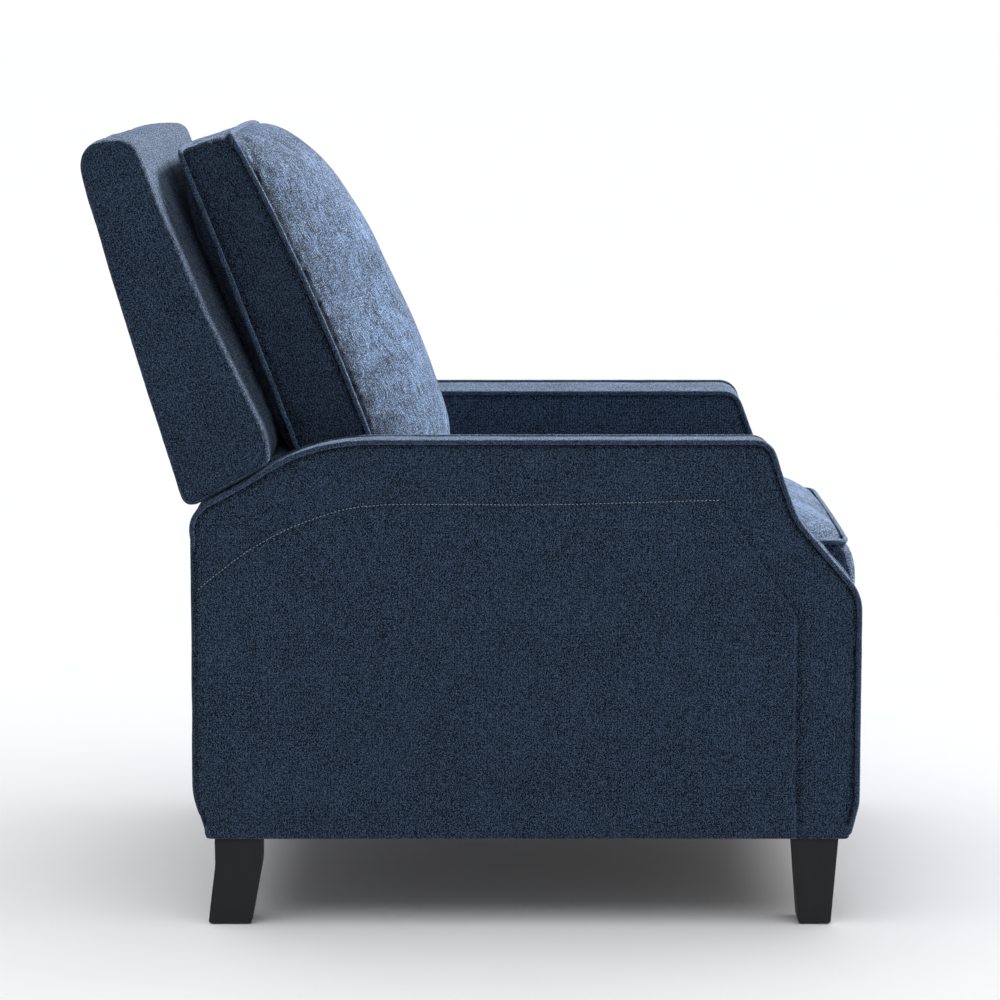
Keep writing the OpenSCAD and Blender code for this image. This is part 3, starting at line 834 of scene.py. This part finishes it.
def make_back_cushion():
    x0, x1, z0, z1 = CUSHION_LOW.x, CUSHION_HIGH.x, CUSHION_LOW.z, CUSHION_HIGH.z
    half = CUSHION_HIGH.y - 1 * MM
    low, high = (x1 - 0.076, z0 + 0.014), (x1 - 0.283, z1 - 0.006)
    face = bezier(low, (x1 - 0.171, z0 + 0.262), high)
    back = bezier((x0 + 0.169, z0 + 0.030), (x0 + 0.074, z0 + 0.282), (x0 - 0.001, z1 - 0.028))
    crown = along(curve(
        low, (x1 - 0.030, z0 + 0.016), (x1 - 0.012, z0 + 0.072), (x1 - 0.034, z0 + 0.130),
        (x1 - 0.062, z0 + 0.200), (x1 - 0.109, z0 + 0.296), (x1 - 0.133, z0 + 0.350),
        (x1 - 0.160, z0 + 0.393), (x1 - 0.198, z0 + 0.458), (x1 - 0.242, z0 + 0.492), high))
    rings, front_seam, rear_seam = cushion_rings(
        half, face, back, 0.014, crown, 18 * MM, 4 * MM, (3 * MM, 2 * MM))
    obj = loft("back_cushion_cover", rings)
    remesh(obj, SOFT_VOXEL)
    smooth(obj, 1)
    co, seams = points(obj), (front_seam, rear_seam)
    # the boxing is firmer than the face
    held = np.maximum(held_at(co, seams), 0.7 * ease(np.abs(co[:, 1]), half - 9 * MM, half - 3 * MM))
    top = ease(normals(obj)[:, 2], 0.85, 0.95) * ease(co[:, 2], z1 - 0.05, z1 - 0.03)
    held = np.maximum(held, 0.5 * top)
    swell(obj, held, pressure=3.6, cap=21 * MM, slack=0.02)
    gather(obj, seams, 1.5, 11, 0.5)
    modify(obj, "SUBSURF", levels=1)
    finish_piece(obj, "back", FABRIC_FACE, "upholstery", "back_cushion", fill=0.9)
    for name, seam in (("front", front_seam), ("rear", rear_seam)):
        piping = tube("back_cushion_piping_" + name, on_seam(seam, obj), WELT, closed=True)
        finish_piece(piping, "back", PIPED, "upholstery")


def make_seat_cushion():
    x0, x1, z0, z1 = SEAT_LOW.x, SEAT_HIGH.x, SEAT_LOW.z, SEAT_HIGH.z
    half = SEAT_HIGH.y - 2 * MM
    low, high = (x0 + 0.006, z0 + 0.130), (x1 - 0.013, z0 + 0.130)
    face = bezier(low, (x0 + 0.330, z0 + 0.132), high)
    back = bezier((x0 + 0.006, z0 + 0.004), (x0 + 0.330, z0 + 0.004), (x1 - 0.018, z0 + 0.018))
    crown = along(rounded([
        low + (0,), (x0 + 0.050, z1 - 0.018, 0.10), (x0 + 0.350, z1 - 0.005, 0.5),
        (x1 - 0.072, z1 - 0.001, 0.10), (x1 - 0.027, z0 + 0.152, 0.03), high + (0,)],
        4 * MM, closed=False))
    rings, top_seam, low_seam = cushion_rings(
        half, face, back, 0.022, crown, 0.0, 0.0, (0.5 * MM, 15 * MM))
    obj = loft("seat_cushion_cover", rings)
    remesh(obj, SOFT_VOXEL)
    smooth(obj, 1)
    co = points(obj)
    held = held_at(co, (top_seam, low_seam))
    # the underside rests on the webbing, and the sides sit against the arms
    held = np.maximum(held, 1 - ease(co[:, 2], z0 + 0.004, z0 + 0.012))
    held = np.maximum(held, ease(np.abs(co[:, 1]), half - 4 * MM, half - 1 * MM) * 0.8)
    swell(obj, held, pressure=3.5, cap=22 * MM, slack=0.015)
    gather(obj, (top_seam,), 1.2, 21, 0.2)
    modify(obj, "SUBSURF", levels=1)
    finish_piece(obj, "seat", FABRIC_SEAT, "upholstery", "seat_cushion", fill=0.9)
    piping = tube("seat_cushion_piping", on_seam(top_seam, obj), WELT, closed=True)
    finish_piece(piping, "seat", PIPED, "upholstery")


# ---- outer back ----

def slab_outline():
    """Corners, anticlockwise from the lower front one."""
    x0, x1, z0, z1 = SLAB_LOW.x, SLAB_HIGH.x, SLAB_LOW.z, SLAB_HIGH.z
    return [
        (x1 - 0.001, z0 + 0.0515, 0.012),
        (x0 + 0.231, z0 + 0.092, 0.08), (x0 + 0.155, z0 + 0.249, 0.5),
        (x0 + 0.099, z0 + 0.384, 0.3), (x0 + 0.068, z1 - 0.002, 0.016),
        (x0 - 0.009, z1 - 0.003, 0.032), (x0 + 0.008, z1 - 0.080, 0.2),
        (x0 + 0.126, z0 - 0.0095, 0.014)]


def slab_radius(loop):
    """A little wider at the front edges than at the rear ones."""
    lean_line = SLAB_LOW.x + 0.09 + (SLAB_HIGH.z - loop[:, 1]) * 0.36
    front = ease(loop[:, 0], lean_line - 0.03, lean_line + 0.02)
    return (7 + front) * MM


def make_slab():
    loop = rounded(slab_outline())
    half = SLAB_HIGH.y
    obj = soft_prism("back_slab_cover", loop, -half, half, slab_radius)
    remesh(obj, SOFT_VOXEL)
    smooth(obj, 2)
    co, nor = points(obj), normals(obj)
    u = co[:, 1] / half
    edge, _ = to_path(co[:, [0, 2]], np.vstack([loop, loop[:1]]))
    side = ease(np.abs(nor[:, 1]), 0.5, 0.9)
    full = 1 - bell(edge, 0.025)
    amount = side * 3.0 * full
    flat = off_sides(nor)
    amount += flat * 2.5 * (1 - u ** 4) * ease(co[:, 2], SLAB_LOW.z + 0.06, SLAB_LOW.z + 0.16)
    amount += 1.3 * waves(co, 0.12, 31) + 0.5 * waves(co, 0.045, 32)
    # the cover is pulled down its length behind the cushion, which leaves long soft folds
    folds = waves(co * np.array((0.3, 1.0, 0.22)), 0.016, 33)
    amount += 1.7 * folds * flat * ease(co[:, 2], SLAB_LOW.z + 0.2, SLAB_HIGH.z)
    place(obj, co + nor * (amount * MM)[:, None])
    # painted shade on its front face behind and beside the cushion, clear of the outer edges and of
    # the top
    cushion_shade = 1 - ease(np.abs(co[:, 1]), half - 0.028, half - 0.008)
    cushion_shade *= 1 - ease(co[:, 2], CUSHION_HIGH.z - 0.15, CUSHION_HIGH.z - 0.05)
    shade_and_highlight(obj, ease(nor[:, 0], 0.4, 0.8) * cushion_shade)
    modify(obj, "SUBSURF", levels=1)
    finish_piece(obj, "back", FABRIC_BACK, "upholstery", "back_slab", fill=0.9)


def make_panel(name, node, body, low, high, outline, radius, puff, seed, material, fill):
    """A padded board whose outline is given in X and Z."""
    loop = rounded(outline)
    obj = soft_prism(name, loop, low.y, high.y, radius)
    remesh(obj, SOFT_VOXEL)
    smooth(obj, 2)
    co, nor = points(obj), normals(obj)
    u = co[:, 1] / high.y
    height = (co[:, 2] - low.z) / (high.z - low.z)
    flat = off_sides(nor)
    full = (1 - np.abs(u) ** 6) * np.clip(4 * height * (1 - height), 0, 1) ** 0.5
    amount = flat * puff * full * ease(np.abs(nor[:, 0]), 0.4, 0.8)
    amount += (0.9 * waves(co, 0.10, seed) + 0.4 * waves(co, 0.04, seed + 1)) * full
    place(obj, co + nor * (amount * MM)[:, None])
    finish_piece(obj, body, material, "upholstery", node, fill=fill)


def make_lower_panels():
    x0, x1, z0, z1 = LOWER_LOW.x, LOWER_HIGH.x, LOWER_LOW.z, LOWER_HIGH.z
    make_panel("back_lower_cover", "back_lower_panel", "back", LOWER_LOW, LOWER_HIGH, [
        (x0 + 0.054, z0, 0.006), (x1 - 0.057, z0, 0.006), (x1, z0 + 0.048, 0.014),
        (x1 - 0.045, z1, 0.002), (x0 + 0.085, z1, 0.002), (x0, z1 - 0.0535, 0.002)],
        5 * MM, 2.0, 41, FABRIC_BACK, 0.8)
    x0, x1, z0, z1 = REAR_LOW.x, REAR_HIGH.x, REAR_LOW.z, REAR_HIGH.z
    make_panel("rear_panel_cover", "rear_panel", "base", REAR_LOW, REAR_HIGH, [
        (x0, z0, 0.003), (x1, z0, 0.003), (x1, z1, 0.008), (x0, z1, 0.009)],
        1 * MM, 1.6, 51, FABRIC, 0.5)


def make_footrest():
    x0, x1, z0, z1 = PAD_LOW.x, PAD_HIGH.x, PAD_LOW.z, PAD_HIGH.z
    make_panel("footrest_cover", "footrest_pad", "footrest", PAD_LOW, PAD_HIGH, [
        (x0, z0, 0.004), (x1 - 0.004, z0, 0.024), (x1 - 0.004, z1, 0.028), (x0, z1, 0.006)],
        12 * MM, 4.0, 61, FABRIC, 0.85)


# ---- hard parts that keep their CAD shape ----

MATERIALS = {
    "frame_timber": TIMBER, "leg_wood": LEG_WOOD, "steel": STEEL, "zinc_fixings": ZINC,
    "dust_cloth": CLOTH, "webbing": STRAP, "glide": PLASTIC}


def dress_nodes():
    slots = {s["node"]: s["material_slot"] for s in frame["record"]["subparts"]}
    for name, obj in frame["nodes"].items():
        material = MATERIALS.get(slots[name])
        if material is None:
            continue
        if not obj.material_slots:
            obj.data.materials.append(material)
        for slot in obj.material_slots:
            slot.material = material
        if name.startswith(("leg_front", "leg_rear")):
            soften = obj.modifiers.new("Soften", "BEVEL")
            soften.width = 1.6 * MM
            soften.segments = 3
            soften.limit_method = "ANGLE"
            soften.angle_limit = math.radians(35)


# ---- floor, lights and camera ----

def make_stage():
    size = 400.0    # half the floor's width, so that its edge lies at the horizon
    floor = new_object("floor", [(-size, -size, 0), (size, -size, 0), (size, size, 0),
                                 (-size, size, 0)], [(0, 1, 2, 3)])
    n = Nodes("pale_floor")
    spot = n.add("TexCoord").outputs["Object"]
    grain = n.noise(spot, 4.0, 3.0, 0.5)
    n.set(Base_Color=n.mix(grain, (0.86, 0.86, 0.87, 1), (0.90, 0.90, 0.91, 1)), Roughness=0.8)
    floor.data.materials.append(n.material)
    return floor


def make_world():
    """A soft pale room that is brightest at the horizon, where it meets the floor."""
    world = bpy.data.worlds.new("studio")
    bpy.context.scene.world = world
    world.use_nodes = True
    tree = world.node_tree
    where = tree.nodes.new("ShaderNodeTexCoord")
    axes = tree.nodes.new("ShaderNodeSeparateXYZ")
    level = tree.nodes.new("ShaderNodeMapRange")
    for socket, value in (("From Min", 0.06), ("From Max", 0.14), ("To Min", 1.12), ("To Max", 0.4)):
        level.inputs[socket].default_value = value
    tree.links.new(where.outputs["Generated"], axes.inputs[0])
    tree.links.new(axes.outputs["Z"], level.inputs["Value"])
    sky = tree.nodes["Background"]
    sky.inputs["Color"].default_value = (0.98, 0.99, 1.0, 1)
    tree.links.new(level.outputs[0], sky.inputs["Strength"])


def sun(name, towards, strength, angle, floor, only_floor):
    """A distant lamp, angle degrees wide. It lights the floor only, or all but the floor."""
    data = bpy.data.lights.new(name, "SUN")
    data.energy = strength
    data.angle = math.radians(angle)
    obj = bpy.data.objects.new(name, data)
    obj.rotation_euler = Vector(towards).to_track_quat("Z", "Y").to_euler()
    bpy.context.scene.collection.objects.link(obj)
    lit = bpy.data.collections.new(name + "_receivers")
    lit.objects.link(floor)
    obj.light_linking.receiver_collection = lit
    lit.collection_objects[0].light_linking.link_state = "INCLUDE" if only_floor else "EXCLUDE"


def make_lights(floor):
    sun("key_above_front", KEY_FROM, 23.5, 18, floor, False)
    sun("fill_beside", FILL_FROM, 1.4, 40, floor, False)
    sun("floor_wash", ABOVE, 2.4, 100, floor, True)


def make_camera():
    data = bpy.data.cameras.new("camera")
    data.sensor_width = CAMERA_SENSOR
    data.lens = CAMERA_LENS
    obj = bpy.data.objects.new("camera", data)
    obj.location = CAMERA_PLACE
    obj.rotation_euler = (CAMERA_TILT, 0, 0)
    bpy.context.scene.collection.objects.link(obj)
    bpy.context.scene.camera = obj


make_camera()
make_world()
make_lights(make_stage())
bpy.context.scene.view_settings.view_transform = "Standard"
dress_nodes()
make_arm("right")
make_arm("left")
make_slab()
make_back_cushion()
make_seat_cushion()
make_lower_panels()
make_footrest()
